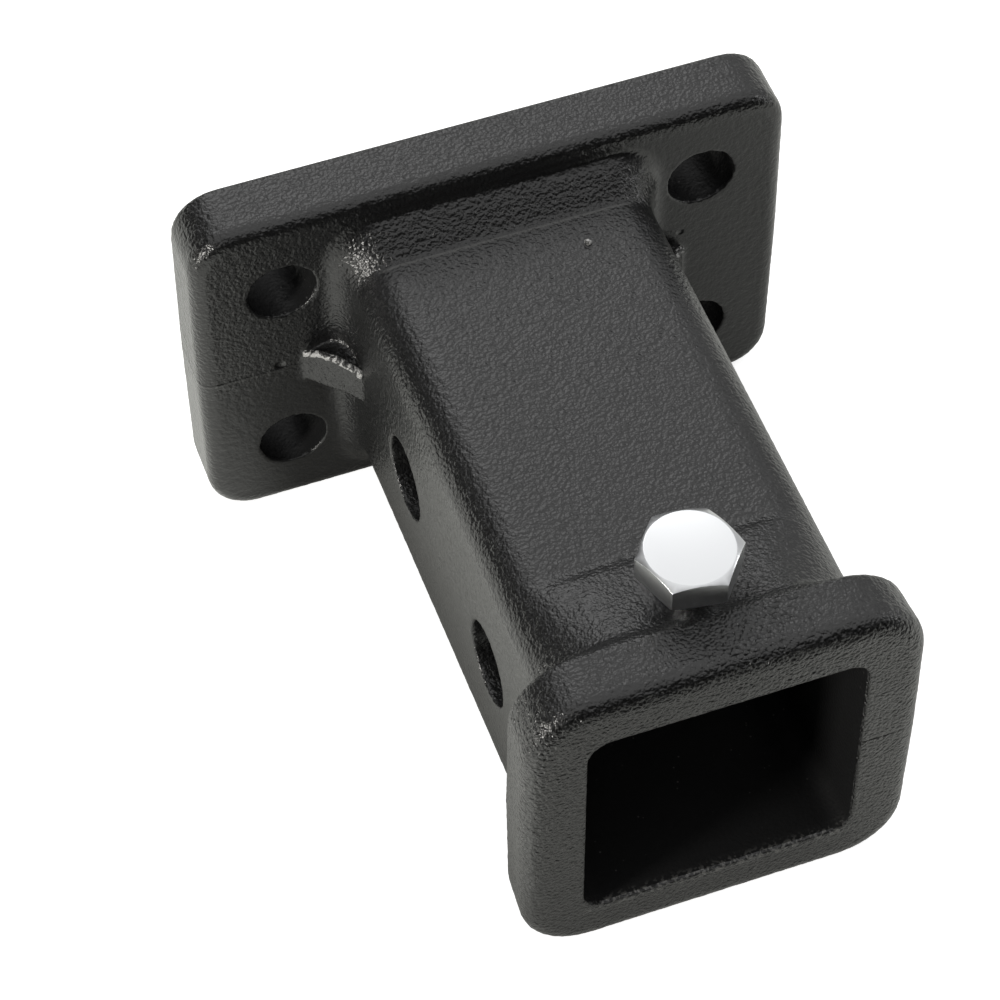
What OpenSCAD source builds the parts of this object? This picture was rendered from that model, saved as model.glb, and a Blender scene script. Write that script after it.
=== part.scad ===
// Hitch receiver adapter: a square receiver socket cast in one piece with a bolt-on plate.
// Millimetres. The origin is the centre of the plate's back face, where it meets the
// vehicle. The socket runs along -Y to its mouth, +X is to the right and +Z is up.

/* [Mounting plate] */
// Width of the plate, along X
plate_w = 121; // [116:1:130]
// Height of the plate, along Z
plate_h = 81; // [80:1:96]
// Thickness of the plate
plate_t = 14; // [12:0.5:16]
// Radius of the plate's four corners
plate_corner_r = 9.5; // [6:0.5:14]
// Rounding of the plate's front edge
plate_front_r = 3; // [2:0.5:4]
// Rounding of the plate's back edge
plate_back_r = 1; // [0.5:0.25:2]

/* [Bolt holes in the plate] */
// Distance between the holes across the plate
hole_span_x = 85.7; // [84:0.1:90]
// Distance between the holes up the plate
hole_span_z = 44.45; // [40:0.05:50]
// Diameter of the four holes
hole_d = 13.5; // [11:0.1:14]

/* [Receiver tube] */
// Distance from the plate's back face to the mouth
length = 134; // [130:1:160]
// Outer width of the tube
tube_w = 60.8; // [60:0.1:62]
// Outer height of the tube
tube_h = 60.4; // [60:0.1:61]
// Radius of the tube's long edges
tube_corner_r = 8.5; // [5:0.5:10]
// Width and height of the square socket
socket_w = 52.4; // [51.4:0.1:53]
// Radius of the socket's corners
socket_corner_r = 4; // [2:0.5:6]

/* [Sloped foot between tube and plate] */
// How far the foot reaches along the tube
foot_len = 7; // [4:0.5:10]
// How far the foot reaches up and down the plate
foot_rise = 5.5; // [3:0.5:6]
// How far the foot reaches out along the plate
foot_spread = 5; // [3:0.5:6]

/* [Feeder stubs] */
// Reach of the broken-off feeder stub out along the plate
stub_reach_x = 9.6; // [7:0.1:10]
// Reach of the stub along the tube
stub_reach_y = 10.2; // [8.5:0.1:12]
// Height of the stub's straight sides
stub_side_h = 7.4; // [5:0.1:9]
// Height of the arch on top of them
stub_arch_h = 2.4; // [1:0.1:4]
// Height of the arch's foot above the parting line
stub_arch_foot = 2.8; // [1:0.1:4]

/* [Pin holes] */
// Diameter of the cross holes for the hitch pin
pin_hole_d = 16.6; // [16.3:0.1:17]
// Distance of the inner cross hole from the plate's back face
pin_inner_place = 47.8; // [40:0.1:55]
// Distance of the outer cross hole from the plate's back face
pin_outer_place = 93.7; // [88:0.1:96]

/* [Collar] */
// Outer width of the collar at the mouth
collar_w = 75.6; // [72:0.2:80]
// Outer height of the collar
collar_h = 75; // [73:0.5:78]
// How much narrower the collar is at its back, on each side
collar_taper = 0.6; // [0:0.1:1]
// Length of the collar along the socket
collar_len = 13.5; // [11:0.5:16]
// Radius of the collar's long edges
collar_corner_r = 13; // [9:0.5:15]
// Rounding of the collar's front edge
collar_front_r = 3.5; // [3:0.5:6]
// Length of the slope that leads from the tube up to the collar
collar_slope = 4; // [3:0.5:6]

/* [Boss under the screw] */
// Distance from the plate's back face to the start of the boss
boss_start = 100.5; // [98:0.5:103]
// Width of the boss across its flat top
boss_w = 30; // [24:1:36]
// Height of the small step at its start
boss_step = 1.3; // [0.5:0.1:2]
// Height of the boss above the tube where it meets the collar
boss_rise = 5; // [4:0.1:6]

/* [Anti-rattle screw] */
// Distance of the screw's axis from the plate's back face
screw_place = 112.8; // [112:0.1:114]
// Thread diameter
screw_d = 10; // [8:1:10]
// Length under the head
screw_len = 14; // [14:1:16]
// Width across the flats of the head
head_af = 17; // [13:1:17]
// Height of the head, its washer face included
head_h = 6.4; // [5:0.1:7]
// Height of the head's top above the tube's axis
head_top = 45.6; // [45.4:0.1:48]

/* [Hidden] */

corner_steps = 7;      // facets in a quarter of each rounded corner
edge_steps = 5;        // facets along each rounded edge
flank_steps = 4;       // facets from the boss's flat top to a rounded corner
draft = 0.3;           // outward lean of the side walls towards the parting line, at mid height
thread_gap = 0.1;      // between the screw and its hole, all round
washer_face_h = 0.5;   // height of the round face under the head
head_turn = 50.6;      // turn of the head about its axis, from +X to one of its corners
low_chamfer = 0.35;    // chamfer of the hexagon's corners above the washer face
tip_chamfer = 1;       // chamfer at the screw's tip
eps = 0.01;            // overlap that keeps a cut clean

collar_back = length - collar_len;
head_seat = head_top - head_h;
head_corner_r = head_af / 2 / cos(30);

// A section of the skin: half width, half height, corner radius, rise of the boss on top
function section(half_w, half_h, r, rise = 0) = [half_w, half_h, r, rise];

plate_section = section(plate_w / 2, plate_h / 2, plate_corner_r);
tube_section = section(tube_w / 2, tube_h / 2, tube_corner_r);
boss_foot_section = tube_section + [0, 0, 0, boss_step];
boss_end_section = tube_section + [0, 0, 0, boss_rise];
collar_section = section(collar_w / 2, collar_h / 2, collar_corner_r);
collar_back_section = collar_section - [collar_taper, 0, 0, 0];

// The section drawn in by d all round, its corners with it
function drawn_in(s, d) = s - [d, d, min(d, s[2] - 1), 0];

// The section part of the way, t, from one section to another
function between(a, b, t) = a + (b - a) * t;

function smooth(t) = t * t * (3 - 2 * t);

// Stations [distance from the back face, section] round an edge that turns into the back face
function back_edge(s, r) =
    [for (i = [0 : edge_steps])
        let (a = 90 * i / edge_steps) [r * (1 - cos(a)), drawn_in(s, r * (1 - sin(a)))]];

// Stations round an edge that turns into a front face at distance y
function front_edge(s, y, r) =
    [for (i = [0 : edge_steps])
        let (a = 90 * i / edge_steps) [y - r * (1 - sin(a)), drawn_in(s, r * (1 - cos(a)))]];

// Stations of the soft slope from section a, at y, to section b
function soft_slope(a, b, y, len) =
    [for (i = [0 : edge_steps])
        let (t = i / edge_steps) [y + len * t, between(a, b, smooth(t))]];

// Stations of the foot: a straight slope above and below, a hollow sweep on both sides
foot = [for (i = [0 : edge_steps])
    let (a = 90 * i / edge_steps)
    [plate_t + foot_len * (1 - cos(a)),
     tube_section + [foot_spread * (1 - sin(a)), foot_rise * cos(a), cos(a), 0]]];

// The whole skin, from the plate's back face to the mouth
skin = concat(
    back_edge(plate_section, plate_back_r),
    front_edge(plate_section, plate_t, plate_front_r),
    foot,
    [[boss_start, tube_section],
     [boss_start + 2 * boss_step, boss_foot_section]],
    soft_slope(boss_end_section, collar_back_section, collar_back - collar_slope / 2,
               collar_slope),
    front_edge(collar_section, length, collar_front_r)
);

// A quarter of a rounded corner
function corner(cx, cz, r, start) =
    [for (i = [0 : corner_steps])
        let (a = start + 90 * i / corner_steps) [cx + r * cos(a), cz + r * sin(a)]];

// Where the top is flat, the points from its right end to its left end
function flat_top(s) =
    let (x = s[0] - s[2], w = boss_w / 2, n = flank_steps)
    let (flank = [for (i = [0 : n - 1]) w + (x - w) * i / n])
    concat([for (i = [n - 1 : -1 : 0]) [flank[i], s[1]]], [for (f = flank) [-f, s[1]]]);

// How much of the boss's rise is left at x: all of it on its flat top, then a soft fall that
// ends at the section's side
function share(s, x) =
    1 - smooth(max(0, abs(x) - boss_w / 2) / (s[0] - boss_w / 2));

// A section's outline, anticlockwise as seen from the mouth. It leans out to the parting
// line half way up each side, and its upper half carries the boss.
function outline(s) =
    let (x = s[0] - s[2], z = s[1] - s[2], r = s[2])
    let (upper = concat(corner(x, z, r, 0), flat_top(s), corner(-x, z, r, 90)))
    concat(
        [[s[0] + draft, 0]], [for (p = upper) p + [0, s[3] * share(s, p[0])]],
        [[-s[0] - draft, 0]], corner(-x, -z, r, 180), corner(x, -z, r, 270)
    );

// A closed skin through a list of stations
module loft(stations) {
    n = len(outline(stations[0][1]));
    last = len(stations) - 1;
    points = [for (s = stations) for (p = outline(s[1])) [p[0], -s[0], p[1]]];
    sides = [for (k = [0 : last - 1]) for (i = [0 : n - 1])
        let (j = (i + 1) % n) [k * n + i, (k + 1) * n + i, (k + 1) * n + j, k * n + j]];
    back = [for (i = [0 : n - 1]) i];
    mouth = [for (i = [n - 1 : -1 : 0]) last * n + i];
    polyhedron(points, concat(sides, [back], [mouth]), convexity = 8);
}

// What is left of a feeder after it was broken off, in the corner of plate and tube. Its
// broken face is an arch that leans across the corner.
module feeder_stub() {
    face_w = norm([stub_reach_x, stub_reach_y]);
    arch_r = (pow(face_w / 2, 2) + pow(stub_arch_h, 2)) / (2 * stub_arch_h);
    translate([(tube_w + stub_reach_x) / 2, -plate_t - stub_reach_y / 2, stub_arch_foot])
        rotate([90, 0, atan2(stub_reach_y, stub_reach_x)])
            translate([0, 0, -face_w / 2]) linear_extrude(face_w / 2) intersection() {
                translate([-face_w / 2, -stub_side_h]) square([face_w, stub_side_h + stub_arch_h]);
                translate([0, stub_arch_h - arch_r]) circle(arch_r, $fn = 64);
            }
}

// A square hole with rounded corners, from the mouth right through the plate
module socket() {
    straight = socket_w - 2 * socket_corner_r;
    translate([0, eps, 0]) rotate([90, 0, 0]) linear_extrude(length + 2 * eps) union() {
        square([socket_w, straight], center = true);
        square([straight, socket_w], center = true);
        for (x = [-1, 1], z = [-1, 1])
            translate([x, z] * straight / 2) circle(r = socket_corner_r, $fn = 32);
    }
}

module plate_holes() {
    for (x = [-1, 1], z = [-1, 1])
        translate([x * hole_span_x / 2, eps, z * hole_span_z / 2])
            rotate([90, 0, 0]) cylinder(d = hole_d, h = plate_t + 2 * eps, $fn = 48);
}

module pin_holes() {
    for (y = [pin_inner_place, pin_outer_place])
        translate([0, -y, 0]) rotate([0, 90, 0])
            cylinder(d = pin_hole_d, h = tube_w + 10, center = true, $fn = 48);
}

module screw_hole() {
    translate([0, -screw_place, 0])
        cylinder(r = screw_d / 2 + thread_gap, h = collar_h / 2 + 5, $fn = 48);
}

module receiver_casting() {
    color("dimgray") difference() {
        union() {
            loft(skin);
            for (m = [0, 1]) mirror([m, 0, 0]) feeder_stub();
        }
        socket();
        plate_holes();
        pin_holes();
        screw_hole();
    }
}

// The screw's outline about its axis, from the top: the cones that cut the hexagon's
// corners above and below, the washer face and the shank with its chamfered tip
module screw_profile() {
    outer_r = head_corner_r + 0.5;
    face_r = head_af / 2 * 0.95;
    thread_r = screw_d / 2;
    polygon([[0, head_h], [face_r, head_h],
             [outer_r, head_h - (outer_r - face_r) * tan(30)],
             [outer_r, washer_face_h + outer_r - head_corner_r + low_chamfer],
             [head_corner_r - low_chamfer, washer_face_h], [face_r, washer_face_h],
             [face_r, 0], [thread_r, 0], [thread_r, tip_chamfer - screw_len],
             [thread_r - tip_chamfer, -screw_len], [0, -screw_len]]);
}

module anti_rattle_screw() {
    color("gainsboro") translate([0, -screw_place, head_seat]) intersection() {
        rotate_extrude($fn = 64) screw_profile();
        translate([0, 0, -screw_len - 1]) rotate(head_turn)
            cylinder(r = head_corner_r, h = head_h + screw_len + 2, $fn = 6);
    }
}

receiver_casting();
anti_rattle_screw();
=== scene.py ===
import bpy
import bmesh
import math
from mathutils import Matrix, Vector, noise


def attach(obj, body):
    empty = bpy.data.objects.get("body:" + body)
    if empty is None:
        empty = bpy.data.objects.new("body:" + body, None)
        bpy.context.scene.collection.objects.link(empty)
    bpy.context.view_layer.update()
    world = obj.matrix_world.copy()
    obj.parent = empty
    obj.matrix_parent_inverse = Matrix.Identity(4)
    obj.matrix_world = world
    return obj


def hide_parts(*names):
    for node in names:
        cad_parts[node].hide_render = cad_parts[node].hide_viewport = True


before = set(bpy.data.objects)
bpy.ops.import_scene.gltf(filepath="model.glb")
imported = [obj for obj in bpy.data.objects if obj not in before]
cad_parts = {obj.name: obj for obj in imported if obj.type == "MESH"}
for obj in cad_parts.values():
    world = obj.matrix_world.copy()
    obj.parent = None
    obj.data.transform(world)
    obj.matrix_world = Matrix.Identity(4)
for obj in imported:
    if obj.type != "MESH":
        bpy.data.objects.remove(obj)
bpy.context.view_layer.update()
mm = 0.001


# Scene: camera, floor, light

cameraPlan = {
    "place": (-157.07, -453.66, 545.87),  # mm, from a fit to the edges of the casting
    "turn": (37.537, 0.195, -20.006),  # degrees about X, Y and Z
    "lens": 130.86,
    "sensor": 36,
    "nearest": 0.01,  # m
}


def addCamera(plan):
    data = bpy.data.cameras.new("camera")
    data.lens = plan["lens"]
    data.sensor_width = plan["sensor"]
    data.clip_start = plan["nearest"]
    camera = bpy.data.objects.new("camera", data)
    camera.location = [v * mm for v in plan["place"]]
    camera.rotation_euler = [math.radians(a) for a in plan["turn"]]
    bpy.context.scene.collection.objects.link(camera)
    bpy.context.scene.camera = camera


addCamera(cameraPlan)
bpy.context.scene.view_settings.view_transform = "Standard"
print("camera is set")


def newNode(tree, kind, **values):
    node = tree.nodes.new(kind)
    for key, value in values.items():
        setattr(node, key, value)
    return node


def setInputs(node, **values):
    for key, value in values.items():
        node.inputs[key.replace("_", " ")].default_value = value


def feed(tree, socket, value):
    if isinstance(value, bpy.types.NodeSocket):
        tree.links.new(value, socket)
    else:
        socket.default_value = value


def calculate(tree, operation, first, second=0.0, clamp=False):
    node = newNode(tree, "ShaderNodeMath", operation=operation, use_clamp=clamp)
    feed(tree, node.inputs[0], first)
    feed(tree, node.inputs[1], second)
    return node.outputs[0]


def times(tree, result, *others):
    for value in others:
        result = calculate(tree, "MULTIPLY", result, value)
    return result


def plus(tree, result, *others):
    for value in others:
        result = calculate(tree, "ADD", result, value)
    return result


# From low at the first end to high at the second, with soft ends
def ramp(tree, value, ends, low=0.0, high=1.0):
    node = newNode(tree, "ShaderNodeMapRange", interpolation_type="SMOOTHSTEP")
    feed(tree, node.inputs["Value"], value)
    if ends[0] > ends[1]:
        ends, low, high = ends[::-1], high, low
    setInputs(node, From_Min=ends[0], From_Max=ends[1], To_Min=low, To_Max=high)
    return node.outputs[0]


def mixColour(tree, share, first, second):
    node = newNode(tree, "ShaderNodeMix", data_type="RGBA", clamp_factor=False)
    feed(tree, node.inputs[0], share)
    node.inputs[6].default_value = first
    node.inputs[7].default_value = second
    return node.outputs[2]


def splitAxes(tree, vector):
    node = newNode(tree, "ShaderNodeSeparateXYZ")
    tree.links.new(vector, node.inputs[0])
    return node.outputs


def objectPlace(tree):
    return newNode(tree, "ShaderNodeTexCoord").outputs["Object"]


floorPlan = {
    "reach": 2.0,  # m, to the back and to both sides
    "frontEnd": -0.265,  # m, where the sheet ends in front of the part
    "drop": 0.05,  # mm under the edges that the part rests on
    "backEdge": (-11.0, -40.5),  # y and z, mm, where the plate's lower edge begins to round
    "lipEdge": (-128.0, -37.5),  # the collar's lower face
    "colour": 0.72,
    "glow": 0.8,  # what the camera sees where no light falls
    "mirroredGlow": 0.02,  # what a reflection sees there
    "leftGlow": 0.74,  # and what more it sees to the left of the part
    "leftEdge": (-0.040, -0.058),  # m along X
    "rightGlow": 0.22,
    "rightEdge": (0.015, 0.055),
    "farGlow": 0.28,
    "farEdge": (0.080, 0.105),
    "frontGlow": 0.28,
    "frontEdge": (-0.105, -0.150),  # m along Y
    "mirroredShare": 0.66,  # how much of the lit sheet a reflection shows
    "tint": (0.99, 1.0, 0.945, 1),  # of the sheet in a reflection
}


def addFloor(plan):
    mesh = bpy.data.meshes.new("floor")
    bm = bmesh.new()
    bmesh.ops.create_grid(bm, x_segments=1, y_segments=1, size=plan["reach"])
    depth = plan["reach"] - plan["frontEnd"]
    bmesh.ops.scale(bm, verts=bm.verts, vec=(1, depth / (2 * plan["reach"]), 1))
    bmesh.ops.translate(bm, verts=bm.verts, vec=(0, plan["frontEnd"] + depth / 2, 0))
    (backY, backZ), (frontY, frontZ) = plan["backEdge"], plan["lipEdge"]
    tilt = math.atan2(frontZ - backZ, frontY - backY) - math.pi
    place = Vector((0, backY, backZ - plan["drop"])) * mm
    bmesh.ops.rotate(bm, verts=bm.verts, matrix=Matrix.Rotation(tilt, 3, "X"))
    bmesh.ops.translate(bm, verts=bm.verts, vec=place)
    bm.to_mesh(mesh)
    bm.free()
    floor = bpy.data.objects.new("floor", mesh)
    bpy.context.scene.collection.objects.link(floor)
    material = bpy.data.materials.new("paleFloor")
    material.use_nodes = True
    tree = material.node_tree
    tree.nodes.clear()
    path = newNode(tree, "ShaderNodeLightPath")
    mirrored = calculate(tree, "ADD", path.outputs["Is Glossy Ray"],
                         path.outputs["Is Transmission Ray"], clamp=True)
    diffuse = newNode(tree, "ShaderNodeBsdfDiffuse")
    glow = newNode(tree, "ShaderNodeEmission")
    lit = (plan["colour"],) * 3 + (1,)
    dimmed = [v * plan["colour"] * plan["mirroredShare"] for v in plan["tint"][:3]] + [1]
    tree.links.new(mixColour(tree, mirrored, lit, dimmed), diffuse.inputs["Color"])
    tree.links.new(mixColour(tree, mirrored, (1, 1, 1, 1), plan["tint"]), glow.inputs["Color"])
    axes = splitAxes(tree, objectPlace(tree))
    left = ramp(tree, axes["X"], plan["leftEdge"], plan["mirroredGlow"], plan["leftGlow"])
    right = ramp(tree, axes["X"], plan["rightEdge"], 0.0, plan["rightGlow"])
    far = ramp(tree, axes["X"], plan["farEdge"], 0.0, plan["farGlow"])
    front = ramp(tree, axes["Y"], plan["frontEdge"], 0.0, plan["frontGlow"])
    around = plus(tree, plus(tree, left, right), plus(tree, far, front))
    strength = plus(tree, times(tree, path.outputs["Is Camera Ray"], plan["glow"]),
                    times(tree, mirrored, around))
    tree.links.new(strength, glow.inputs["Strength"])
    both = newNode(tree, "ShaderNodeAddShader")
    tree.links.new(diffuse.outputs[0], both.inputs[0])
    tree.links.new(glow.outputs[0], both.inputs[1])
    output = newNode(tree, "ShaderNodeOutputMaterial")
    tree.links.new(both.outputs[0], output.inputs[0])
    mesh.materials.append(material)


addFloor(floorPlan)
print("floor is laid")


# Brightness of the studio by direction: each patch adds its level inside a cone, and the
# two cosines are where its soft edge begins and ends
studioPlan = {
    "room": 0.20,
    "patches": {
        "overhead": {"side": (0.13, 0.20, 0.97), "edge": (0.40, 0.86), "level": 1.23},
        "backBox": {"side": (0.02, 0.83, 0.56), "edge": (0.925, 0.985), "level": 2.15},
        "right": {"side": (0.78, 0.58, -0.10), "edge": (0.80, 0.97), "level": 0.45},
        "frontWall": {"side": (0.05, -1.0, 0.15), "edge": (0.62, 0.88), "level": -0.30},
        "leftWall": {"side": (-0.75, 0.40, 0.35), "edge": (0.70, 0.95), "level": -0.30},
    },
}


def softPatch(tree, where, side, edge):
    towards = newNode(tree, "ShaderNodeVectorMath", operation="DOT_PRODUCT")
    tree.links.new(where, towards.inputs[0])
    towards.inputs[1].default_value = Vector(side).normalized()
    return ramp(tree, towards.outputs["Value"], edge)


def addStudio(plan):
    world = bpy.data.worlds.new("studio")
    bpy.context.scene.world = world
    world.use_nodes = True
    tree = world.node_tree
    tree.nodes.clear()
    where = newNode(tree, "ShaderNodeTexCoord").outputs["Generated"]
    level = plan["room"]
    for patch in plan["patches"].values():
        share = softPatch(tree, where, patch["side"], patch["edge"])
        level = plus(tree, level, times(tree, share, patch["level"]))
    light = newNode(tree, "ShaderNodeBackground")
    tree.links.new(level, light.inputs["Strength"])
    white = newNode(tree, "ShaderNodeBackground")
    path = newNode(tree, "ShaderNodeLightPath")
    mix = newNode(tree, "ShaderNodeMixShader")
    tree.links.new(path.outputs["Is Camera Ray"], mix.inputs[0])
    tree.links.new(light.outputs[0], mix.inputs[1])
    tree.links.new(white.outputs[0], mix.inputs[2])
    output = newNode(tree, "ShaderNodeOutputWorld")
    tree.links.new(mix.outputs[0], output.inputs[0])


addStudio(studioPlan)
print("studio is hung")


lampPlans = {
    "keyLeft": {"place": (-0.9, -0.35, 0.30), "size": (0.15, 0.15), "power": 7.0,
                "colour": (1.0, 0.97, 0.92)},
    "rimRight": {"place": (0.9, -0.10, 0.30), "size": (0.15, 0.15), "power": 0.9,
                 "colour": (1.0, 1.0, 1.0)},
}
lampAim = Vector((0, -0.06, 0))  # m, the middle of the part


def addLamp(name, plan):
    data = bpy.data.lights.new(name, "AREA")
    data.shape = "RECTANGLE"
    data.size, data.size_y = plan["size"]
    data.energy = plan["power"]
    data.color = plan["colour"]
    lamp = bpy.data.objects.new(name, data)
    lamp.location = plan["place"]
    lamp.rotation_euler = (lampAim - lamp.location).to_track_quat("-Z", "Y").to_euler()
    bpy.context.scene.collection.objects.link(lamp)


for name, plan in lampPlans.items():
    addLamp(name, plan)
print("lamps are lit")


# Materials

def newMaterial(name):
    material = bpy.data.materials.new(name)
    material.use_nodes = True
    tree = material.node_tree
    return material, tree, tree.nodes["Principled BSDF"]


coatPlan = {
    "colour": (0.010, 0.0101, 0.0103, 1),
    "roughness": 0.28,
    "pebble": 0.72,  # mm between the pebbles of the orange peel
    "pebbleRise": 0.26,  # mm
    "domePower": 2.6,  # how flat their tops are
    "pebbleShares": (0.25, 0.14, 0.75),  # everywhere, and what the collar and the screw's side add
    "collarEdge": (-112, -119),  # mm along Y
    "bend": 0.5,  # mm, how far the pebbles are pulled out of round
    "wrinkle": 1.5,  # mm between the wrinkles of thick coat
    "wrinkleRise": 0.07,
    "screwWrinkles": 2.0,  # what the screw's side adds to their share
    "fine": 0.72,  # mm, grit of the sand under the coat
    "fineDetail": 1.5,
    "fineRise": 0.27,
    "footGrit": 0.9,  # what the foot adds to its share
    "towardsMouth": (-0.70, -0.95),  # the normal's Y on a face that looks out of the mouth
    "towardsLeft": (-0.60, -0.90),  # and its X on a left side
    "frontShare": 0.75,  # of the grain, on faces towards the mouth
    "mouthShare": 1.3,  # what the collar's face and left side add
    "plateEdge": (-17, -14),  # mm along Y, where the plate begins
    "footTop": (-22, -21),  # mm along Y, where the rough slope of the foot begins
    "footHeight": (27, 30),  # mm above or below the middle, where it's reached
    "footSide": (28, 24),
    "footRoughness": 0.30,
    "calm": (2, -8),  # mm along Z, where the wings' grain fades
    "calmSide": (0, 20),  # and along X, towards the right
    "calmTop": (38, 35),  # mm, above which it stays
    "calmShare": 0.5,  # of the grain, where it has faded
    "screwZone": (5, -124, 37),  # mm, where the coat ran thick beside the screw
    "screwReach": (17, 6),
    "shieldAlong": -112.8,  # mm, the screw's axis, where its head kept the coat thin and dull
    "shield": (11, 7.5),  # mm from it
    "shieldLevel": 0.75,
    "shieldShare": 0.4,  # of the grain
    "shieldRoughness": 0.50,
    # a paler line of base colour along the crease of the foot, and paler flecks on the mouth's lower
    # lip
    "crease": {"along": -21.9, "width": (0.42, 0.12), "above": (29.0, 29.8),
               "colour": (0.035, 0.035, 0.034, 1)},
    "lip": {"along": (-131.5, -133.0), "from": (-25.6, -26.3), "to": (-28.2, -27.2),
            "side": (27, 25), "fleck": 0.8, "share": (0.50, 0.58), "light": 3.0},
    "partingLine": {"width": (0.6, 0.0), "rise": 0.13, "sides": (-40, -42)},
    "crack": {"level": 1.6, "width": (0.45, 0.0), "rise": -0.30, "reach": (35, 30),
              "start": (0, 1), "mouth": (-130, -132)},
    "pits": {"left": {"place": (-44.5, -14.0, 1.2), "width": (1.4, 0.2), "rise": -0.6},
             "right": {"place": (39.0, -14.0, 7.8), "width": (1.0, 0.2), "rise": -0.3}},
}


def scaled(value):
    return 1 / (value * mm)


def addNoise(tree, place, size, detail=1.0):
    texture = newNode(tree, "ShaderNodeTexNoise")
    tree.links.new(place, texture.inputs["Vector"])
    setInputs(texture, Scale=scaled(size), Detail=detail)
    return texture


# The height is in millimetres
def addBump(tree, shader, height):
    bump = newNode(tree, "ShaderNodeBump")
    bump.inputs["Distance"].default_value = mm
    tree.links.new(height, bump.inputs["Height"])
    tree.links.new(bump.outputs[0], shader.inputs["Normal"])


def addGrain(tree, shader, where, plan):
    texture = addNoise(tree, where, plan["grain"])
    addBump(tree, shader, times(tree, texture.outputs[0], plan["rise"]))


def distanceTo(tree, where, place):
    node = newNode(tree, "ShaderNodeVectorMath", operation="DISTANCE")
    tree.links.new(where, node.inputs[0])
    node.inputs[1].default_value = place
    return node.outputs["Value"]


def addGroup(name, inputs, outputs):
    group = bpy.data.node_groups.new(name, "ShaderNodeTree")
    for socket, kind in inputs.items():
        group.interface.new_socket(socket, in_out="INPUT", socket_type="NodeSocket" + kind)
    for socket, kind in outputs.items():
        group.interface.new_socket(socket, in_out="OUTPUT", socket_type="NodeSocket" + kind)
    return group, group.nodes.new("NodeGroupInput").outputs, group.nodes.new("NodeGroupOutput").inputs


# Height of the coat's surface in millimetres, from three sizes of grain in given shares
def addPeelGroup(plan):
    group, given, result = addGroup(
        "orangePeel",
        {"Place": "Vector", "Pebbles": "Float", "Wrinkles": "Float", "Grit": "Float"},
        {"Height": "Float"})
    slow = addNoise(group, given["Place"], plan["wrinkle"])
    shift = newNode(group, "ShaderNodeVectorMath", operation="MULTIPLY_ADD")
    group.links.new(slow.outputs["Color"], shift.inputs[0])
    shift.inputs[1].default_value = (plan["bend"] * mm,) * 3
    group.links.new(given["Place"], shift.inputs[2])
    pebbles = newNode(group, "ShaderNodeTexVoronoi", feature="F1")
    group.links.new(shift.outputs[0], pebbles.inputs["Vector"])
    setInputs(pebbles, Scale=scaled(plan["pebble"]))
    domes = calculate(group, "POWER", pebbles.outputs["Distance"], plan["domePower"])
    fine = addNoise(group, given["Place"], plan["fine"], plan["fineDetail"])
    height = 0.0
    for grain, rise, share in ((domes, -plan["pebbleRise"], given["Pebbles"]),
                               (slow.outputs[0], plan["wrinkleRise"], given["Wrinkles"]),
                               (fine.outputs[0], plan["fineRise"], given["Grit"])):
        height = plus(group, height, times(group, grain, rise, share))
    group.links.new(height, result["Height"])
    return group


# Where on the casting a point lies, as shares from 0 to 1, and the height in millimetres
# of the lines and spots that the mould left
def addPlacesGroup(plan):
    group, given, result = addGroup(
        "castingPlaces", {"Place": "Vector"},
        {"Collar": "Float", "Foot": "Float", "Screw": "Float", "Shield": "Float",
         "Calm": "Float", "Paler": "Float", "Marks": "Float"})
    millimetres = newNode(group, "ShaderNodeVectorMath", operation="SCALE")
    group.links.new(given["Place"], millimetres.inputs[0])
    millimetres.inputs["Scale"].default_value = 1 / mm
    place = millimetres.outputs[0]
    across, along, height = splitAxes(group, place)
    side = calculate(group, "ABSOLUTE", across)
    level = calculate(group, "ABSOLUTE", height)

    plate = ramp(group, along, plan["plateEdge"])
    foot = times(group, ramp(group, along, plan["footTop"]), ramp(group, level, plan["footHeight"]),
                 calculate(group, "SUBTRACT", 1.0, plate), ramp(group, side, plan["footSide"]))
    calm = calculate(group, "MAXIMUM", ramp(group, height, plan["calm"]),
                     ramp(group, across, plan["calmSide"]))
    calm = times(group, calm, times(group, plate, ramp(group, level, plan["calmTop"])))

    screw = ramp(group, distanceTo(group, place, plan["screwZone"]), plan["screwReach"])
    ahead = calculate(group, "SUBTRACT", along, plan["shieldAlong"])
    fromScrew = plus(group, calculate(group, "POWER", ahead, 2.0), calculate(group, "POWER", side, 2.0))
    shield = ramp(group, calculate(group, "SQRT", fromScrew), plan["shield"], 0.0, plan["shieldLevel"])

    crease, lip, line, crack = plan["crease"], plan["lip"], plan["partingLine"], plan["crack"]
    # Base colour turns paler along the foot's crease and in flecks on the mouth's lower lip
    offCrease = calculate(group, "SUBTRACT", along, crease["along"])
    offCrease = calculate(group, "ABSOLUTE", offCrease)
    paler = times(group, ramp(group, offCrease, crease["width"]), ramp(group, level, crease["above"]))
    flecks = addNoise(group, given["Place"], lip["fleck"]).outputs[0]
    flecks = times(group, ramp(group, along, lip["along"]), ramp(group, height, lip["from"]),
                   ramp(group, height, lip["to"]), ramp(group, side, lip["side"]),
                   ramp(group, flecks, lip["share"], 0.0, lip["light"]))
    paler = plus(group, paler, flecks)

    marks = times(group, ramp(group, level, line["width"], 0.0, line["rise"]),
                  ramp(group, across, line["sides"]))
    offCrack = calculate(group, "SUBTRACT", height, crack["level"])
    offCrack = calculate(group, "ABSOLUTE", offCrack)
    gap = times(group, ramp(group, offCrack, crack["width"], 0.0, crack["rise"]),
                ramp(group, across, crack["reach"]), ramp(group, across, crack["start"]),
                ramp(group, along, crack["mouth"]))
    marks = plus(group, marks, gap)
    for pit in plan["pits"].values():
        hollow = ramp(group, distanceTo(group, place, pit["place"]), pit["width"], 0.0, pit["rise"])
        marks = plus(group, marks, hollow)

    collar = ramp(group, along, plan["collarEdge"])
    shares = {"Collar": collar, "Foot": foot, "Screw": screw, "Shield": shield, "Calm": calm,
              "Paler": paler, "Marks": marks}
    for name, value in shares.items():
        group.links.new(value, result[name])
    return group


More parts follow.
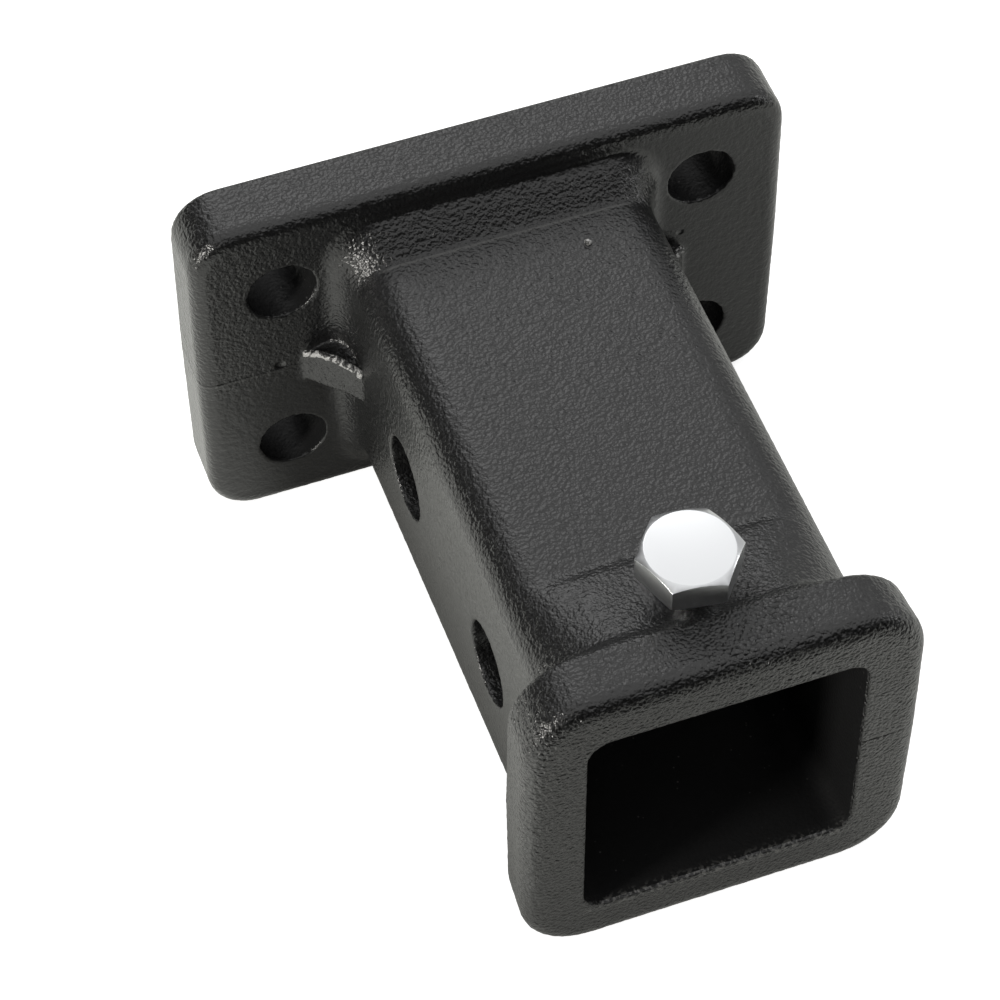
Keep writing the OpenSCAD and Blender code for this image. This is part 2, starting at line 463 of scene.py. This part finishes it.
def addCoat(plan):
    material, tree, shader = newMaterial("blackCoat")
    where = objectPlace(tree)
    places = newNode(tree, "ShaderNodeGroup", node_tree=addPlacesGroup(plan))
    tree.links.new(where, places.inputs["Place"])
    collar, foot, screw, shield, calm, paler, marks = places.outputs
    # The base colour is paler along the crease and in flecks at the lip
    tree.links.new(mixColour(tree, paler, plan["colour"], plan["crease"]["colour"]),
                   shader.inputs["Base Color"])
    peel = newNode(tree, "ShaderNodeGroup", node_tree=addPeelGroup(plan))
    everywhere, onCollar, atScrew = plan["pebbleShares"]
    grain = {
        "Place": where,
        "Pebbles": plus(tree, everywhere, times(tree, collar, onCollar), times(tree, screw, atScrew)),
        "Wrinkles": plus(tree, 1.0, times(tree, screw, plan["screwWrinkles"])),
        "Grit": plus(tree, 1.0, times(tree, foot, plan["footGrit"])),
    }
    for name, value in grain.items():
        tree.links.new(value, peel.inputs[name])
    facing = splitAxes(tree, newNode(tree, "ShaderNodeNewGeometry").outputs["Normal"])
    share = ramp(tree, facing["Y"], plan["towardsMouth"], 1.0, plan["frontShare"])
    onFace = plus(tree, ramp(tree, facing["Y"], plan["towardsMouth"]),
                  ramp(tree, facing["X"], plan["towardsLeft"]))
    share = plus(tree, share, times(tree, collar, onFace, plan["mouthShare"]))
    share = times(tree, share, ramp(tree, calm, (0, 1), 1.0, plan["calmShare"]),
                  ramp(tree, shield, (0, 1), 1.0, plan["shieldShare"]))
    addBump(tree, shader, plus(tree, times(tree, peel.outputs["Height"], share), marks))
    rough = ramp(tree, foot, (0, 1), plan["roughness"], plan["footRoughness"])
    rough = calculate(tree, "MAXIMUM", rough, times(tree, shield, plan["shieldRoughness"]))
    tree.links.new(rough, shader.inputs["Roughness"])
    return material


blackCoat = addCoat(coatPlan)

insidePlan = {
    "colour": (0.010, 0.0101, 0.0103, 1),
    "roughness": 0.45,
    "specular": 0.09,
    "grain": 0.6,  # mm
    "rise": 0.10,
    "speckGap": 1.9,  # mm between specks of dust
    "speckSize": (0.13, 0.08),  # share of the gap
    "speckDrift": 9.0,  # mm, of the slow noise that lets them show
    "speckZone": (0.50, 0.60),
    "speckColour": (0.05, 0.05, 0.048, 1),
    "lipAlong": (-131.6, -133.8),  # mm, the rough floor of the socket at its mouth
    "lipLevel": (-24.0, -25.5),
    "lipGrain": 0.8,
    "lipShare": (0.50, 0.60),
    "lipLight": 1.3,
}


# The thin, dull coat in the socket and in the bolt holes
def addInsideCoat(plan):
    material, tree, shader = newMaterial("insideCoat")
    where = objectPlace(tree)
    shader.inputs["Roughness"].default_value = plan["roughness"]
    shader.inputs["Specular IOR Level"].default_value = plan["specular"]
    specks = newNode(tree, "ShaderNodeTexVoronoi", feature="F1")
    tree.links.new(where, specks.inputs["Vector"])
    setInputs(specks, Scale=scaled(plan["speckGap"]))
    drift = addNoise(tree, where, plan["speckDrift"]).outputs[0]
    shown = times(tree, ramp(tree, specks.outputs["Distance"], plan["speckSize"]),
                  ramp(tree, drift, plan["speckZone"]))
    axes = splitAxes(tree, where)
    flecks = addNoise(tree, where, plan["lipGrain"]).outputs[0]
    flecks = times(tree, ramp(tree, axes["Y"], [v * mm for v in plan["lipAlong"]]),
                   ramp(tree, axes["Z"], [v * mm for v in plan["lipLevel"]]),
                   ramp(tree, flecks, plan["lipShare"], 0.0, plan["lipLight"]))
    shown = plus(tree, shown, flecks)
    tree.links.new(mixColour(tree, shown, plan["colour"], plan["speckColour"]),
                   shader.inputs["Base Color"])
    addGrain(tree, shader, where, plan)
    return material


insideCoat = addInsideCoat(insidePlan)

zincPlan = {"colour": (0.685, 0.695, 0.705, 1), "roughness": 0.31}


def addZinc(plan):
    material, tree, shader = newMaterial("zincPlating")
    shader.inputs["Base Color"].default_value = plan["colour"]
    shader.inputs["Metallic"].default_value = 1.0
    shader.inputs["Roughness"].default_value = plan["roughness"]
    return material


zincPlating = addZinc(zincPlan)
print("materials are mixed")


# Casting: the solid's own shape, softened as a coated sand casting is

castingPlan = {
    "grid": 0.5,  # mm
    "softening": 6,  # passes
    "softFactor": 0.5,
    "grain": 0.9,  # mm between the low places of the skin
    "grainDepth": 0.13,
    "plain": (-0.6, -132.0, 26.6),  # mm, the back and the socket behind its mouth are left even
    "socketCorner": (22.2, 4.12),  # mm, middle and radius of its corners
    "holes": (42.85, 22.225),  # mm, of their axes from the middle
    "holeRadius": 6.85,
    "holeSpan": (-13.9, -0.1),
    "outside": {"castingPlate": (-14.5, 1), "castingFoot": (-34, -14.5), "castingTube": (-97, -34),
                "castingMouth": (-135, -97)},
    "inside": {"socketBack": (-68, 1), "socketFront": (-135, -68)},
}

mergeGap = 0.002  # mm, between vertices of a solid that are one
seamGap = 0.01  # mm, between vertices that a sweep made twice


def copyNode(node, name):
    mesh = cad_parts[node].data.copy()
    mesh.name = name
    mesh.materials.clear()
    bm = bmesh.new()
    bm.from_mesh(mesh)
    bmesh.ops.remove_doubles(bm, verts=bm.verts, dist=mergeGap * mm)
    bm.to_mesh(mesh)
    bm.free()
    piece = bpy.data.objects.new(name, mesh)
    bpy.context.scene.collection.objects.link(piece)
    return piece


def newPiece(name, bm, material):
    mesh = bpy.data.meshes.new(name)
    bm.to_mesh(mesh)
    bm.free()
    mesh.materials.append(material)
    piece = bpy.data.objects.new(name, mesh)
    bpy.context.scene.collection.objects.link(piece)
    return piece


def shadeSmooth(piece):
    for polygon in piece.data.polygons:
        polygon.use_smooth = True


def applyModifiers(piece):
    graph = bpy.context.evaluated_depsgraph_get()
    done = bpy.data.meshes.new_from_object(piece.evaluated_get(graph))
    piece.modifiers.clear()
    piece.data = done


def castSkin(plan):
    piece = copyNode("receiver_casting", "castingSkin")
    remesh = piece.modifiers.new("grid", "REMESH")
    remesh.mode = "VOXEL"
    remesh.voxel_size = plan["grid"] * mm
    remesh.use_smooth_shade = True
    soften = piece.modifiers.new("soften", "SMOOTH")
    soften.factor = plan["softFactor"]
    soften.iterations = plan["softening"]
    applyModifiers(piece)
    pitSkin(piece.data, plan)
    print("casting has", len(piece.data.polygons), "faces")
    return piece


# Sinks the skin a little by an even noise, so that its outline is grained too
def pitSkin(mesh, plan):
    back, mouth, half = plan["plain"]
    bm = bmesh.new()
    bm.from_mesh(mesh)
    bm.normal_update()
    for v in bm.verts:
        y = v.co.y / mm
        if y < mouth or (y < back and max(abs(v.co.x), abs(v.co.z)) / mm > half):
            share = 0.5 + 0.5 * noise.noise(v.co * scaled(plan["grain"]))
            v.co -= v.normal * share * plan["grainDepth"] * mm
    bm.to_mesh(mesh)
    bm.free()


def isInside(place, plan):
    x, y, z = [v / mm for v in place]
    fromHole = math.hypot(abs(x) - plan["holes"][0], abs(z) - plan["holes"][1])
    first, last = plan["holeSpan"]
    corner, radius = plan["socketCorner"]
    fromCorner = math.hypot(max(abs(x) - corner, 0), max(abs(z) - corner, 0))
    return fromCorner < radius or (fromHole < plan["holeRadius"] and first < y < last)


# The skin's faces between two places along Y, outside or inside, as a piece of their own
def partOfSkin(skin, name, span, inside, material):
    low, high = [y * mm for y in span]
    bm = bmesh.new()
    bm.from_mesh(skin.data)
    others = []
    for face in bm.faces:
        middle = face.calc_center_median()
        if not low <= middle.y < high or isInside(middle, castingPlan) != inside:
            others.append(face)
    bmesh.ops.delete(bm, geom=others, context="FACES")
    piece = newPiece(name, bm, material)
    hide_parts("receiver_casting")
    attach(piece, "casting")


skin = castSkin(castingPlan)
for name, span in castingPlan["outside"].items():
    partOfSkin(skin, name, span, False, blackCoat)
for name, span in castingPlan["inside"].items():
    partOfSkin(skin, name, span, True, insideCoat)
bpy.data.objects.remove(skin)
print("casting is made")


# What else the mould left: the torn rims of both feeder stubs and a drop of metal

marksPlan = {
    "stub": (35.2, -19.1, 5.2),  # mm, top of the arch's front edge, on the right
    "arch": 11.42,  # mm, its radius
    "halfTurn": 35.0,  # degrees to each side of its top
    "faceTurn": 46.7,  # degrees, how the broken face leans across the corner
    "reach": 0.90,  # mm, how far the rim reaches down the face and back along the arch
    "proud": 0.58,
    "crown": 0.36,  # mm from the arch's edge to the two corners of its crown
    "steps": 34,
    "ragged": 0.30,  # mm, how far its vertices are pushed
    "raggedSize": 0.7,
    "raggedSeed": 1795666579,  # without one the noise starts from the clock
    "grain": 0.45,
    "rise": 0.30,
    "drop": (13.5, -28.8, 30.45),
    "dropRadius": 0.72,
    "colour": (0.03, 0.03, 0.03, 1),
    "glintColour": (0.42, 0.42, 0.41, 1),  # painted highlight: lighter spots that stand in for the lamp's glints on the rims and the drop
    "glintGap": 1.0,  # mm between the painted glints
    "glintShare": (0.46, 0.56),
    "roughness": 0.30,
}


# Painted highlight: a lighter base colour, with still lighter spots in it, stands in for the glints on
# the torn stub rims and the drop
def addRimGlintCoat(plan):
    material, tree, shader = newMaterial("rimGlintCoat")
    where = objectPlace(tree)
    # Painted highlight: noise spots turn the base colour light where the lamp's glints should be
    glintSpots = ramp(tree, addNoise(tree, where, plan["glintGap"]).outputs[0], plan["glintShare"])
    tree.links.new(mixColour(tree, glintSpots, plan["colour"], plan["glintColour"]),
                   shader.inputs["Base Color"])
    shader.inputs["Roughness"].default_value = plan["roughness"]
    addGrain(tree, shader, where, plan)
    return material


# Pushes every vertex by an even noise
def roughen(verts, size, rise):
    for v in verts:
        v.co += noise.noise_vector(v.co * scaled(size)) * rise * mm


# A rim with a flat crown is swept along the arch
def addStubRim(bm, plan):
    arch, proud, reach, crown = plan["arch"], plan["proud"], plan["reach"], plan["crown"]
    profile = ((arch - reach, 0), (arch - crown, -proud), (arch + proud, crown), (arch, reach),
               (arch - reach, reach))
    dots = [bm.verts.new((0, y * mm, r * mm)) for r, y in profile]
    face = bm.faces.new(dots)
    bmesh.ops.rotate(bm, verts=dots, cent=(0, 0, 0),
                     matrix=Matrix.Rotation(math.radians(-plan["halfTurn"]), 3, "Y"))
    bmesh.ops.spin(bm, geom=[face, *dots, *face.edges], cent=(0, 0, 0), axis=(0, 1, 0),
                   angle=math.radians(2 * plan["halfTurn"]), steps=plan["steps"])


def makeMarks(plan):
    noise.seed_set(plan["raggedSeed"])
    whole = bmesh.new()
    for side in (-1, 1):
        bm = bmesh.new()
        addStubRim(bm, plan)
        bmesh.ops.remove_doubles(bm, verts=bm.verts, dist=seamGap * mm)
        bmesh.ops.recalc_face_normals(bm, faces=bm.faces)
        roughen(bm.verts, plan["raggedSize"], plan["ragged"])
        x, y, z = plan["stub"]
        bmesh.ops.translate(bm, verts=bm.verts, vec=(0, 0, -plan["arch"] * mm))
        turn = Matrix.Rotation(math.radians(side * plan["faceTurn"]), 3, "Z")
        bmesh.ops.rotate(bm, verts=bm.verts, matrix=turn, cent=(0, 0, 0))
        bmesh.ops.translate(bm, verts=bm.verts, vec=(side * x * mm, y * mm, z * mm))
        part = bpy.data.meshes.new("rim")
        bm.to_mesh(part)
        bm.free()
        whole.from_mesh(part)
        bpy.data.meshes.remove(part)
    drop = bmesh.ops.create_icosphere(whole, subdivisions=3, radius=plan["dropRadius"] * mm)
    bmesh.ops.translate(whole, verts=drop["verts"], vec=[v * mm for v in plan["drop"]])
    return newPiece("mouldMarks", whole, addRimGlintCoat(plan))


mouldMarks = makeMarks(marksPlan)
shadeSmooth(mouldMarks)
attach(mouldMarks, "casting")
print("stub rims are torn")


# Screw: the solid's own head with its edges rounded, and a rolled thread under it

screwPlan = {
    "place": (0, -112.8),  # mm, of its axis
    "seat": 39.2,  # mm above the tube's axis, where the washer face begins
    "overlap": 0.1,  # mm of washer face that stays below the seat
    "flat": 2,  # degrees between faces that are made one
    "sharp": 20,  # degrees at an edge that is rounded
    "bevel": 0.14,
    "bevelSteps": 3,
    "threadRadius": 4.98,
    "rootRadius": 4.1,
    "pitch": 1.5,
    "flanks": (0.22, 0.68, 0.82, 1.28),  # mm along a turn, where they begin and end
    "neck": 0.9,  # mm of plain shank under the head
    "end": 14.0,  # mm from the seat to the tip
    "turnSteps": 48,
}


# Keeps the side of a plane across Z that the normal points away from, and closes the cut
def cutAcross(bm, height, up):
    everything = bm.verts[:] + bm.edges[:] + bm.faces[:]
    cut = bmesh.ops.bisect_plane(bm, geom=everything, plane_co=(0, 0, height * mm),
                                 plane_no=(0, 0, up), clear_outer=True)
    edges = [g for g in cut["geom_cut"] if isinstance(g, bmesh.types.BMEdge)]
    bmesh.ops.holes_fill(bm, edges=edges, sides=0)


def makeHead(plan):
    piece = copyNode("anti_rattle_screw", "screwHead")
    bm = bmesh.new()
    bm.from_mesh(piece.data)
    cutAcross(bm, plan["seat"] - plan["overlap"], -1)
    bmesh.ops.dissolve_limit(bm, angle_limit=math.radians(plan["flat"]), verts=bm.verts,
                             edges=bm.edges)
    bm.to_mesh(piece.data)
    bm.free()
    bevel = piece.modifiers.new("rounded", "BEVEL")
    bevel.width = plan["bevel"] * mm
    bevel.segments = plan["bevelSteps"]
    bevel.limit_method = "ANGLE"
    bevel.angle_limit = math.radians(plan["sharp"])
    bevel.harden_normals = True
    shadeSmooth(piece)
    applyModifiers(piece)
    piece.data.materials.append(zincPlating)
    return piece


# One turn's profile is swept along the helix, and both ends are cut square
def makeThread(plan):
    crest, root, pitch = plan["threadRadius"], plan["rootRadius"], plan["pitch"]
    length = plan["end"] - plan["neck"]
    turns = math.ceil(length / pitch) + 2
    rise, top, fall, valley = plan["flanks"]
    profile = ((root, 0.0), (root, rise), (crest, top), (crest, fall), (root, valley), (root, pitch))
    bm = bmesh.new()
    dots = [bm.verts.new((r * mm, 0, (z - pitch) * mm)) for r, z in profile]
    edges = [bm.edges.new(pair) for pair in zip(dots, dots[1:])]
    steps = turns * plan["turnSteps"]
    bmesh.ops.spin(bm, geom=dots + edges, cent=(0, 0, 0), axis=(0, 0, 1), angle=turns * 2 * math.pi,
                   steps=steps, dvec=(0, 0, pitch * mm / plan["turnSteps"]))
    bmesh.ops.remove_doubles(bm, verts=bm.verts, dist=seamGap * mm)
    cutAcross(bm, 0, -1)
    cutAcross(bm, length, 1)
    bmesh.ops.recalc_face_normals(bm, faces=bm.faces)
    axis = [v * mm for v in plan["place"]]
    bmesh.ops.translate(bm, verts=bm.verts, vec=(*axis, (plan["seat"] - plan["end"]) * mm))
    return newPiece("screwThread", bm, zincPlating)


head = makeHead(screwPlan)
thread = makeThread(screwPlan)
for piece in (head, thread):
    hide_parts("anti_rattle_screw")
    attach(piece, "screw")
print("screw is made")
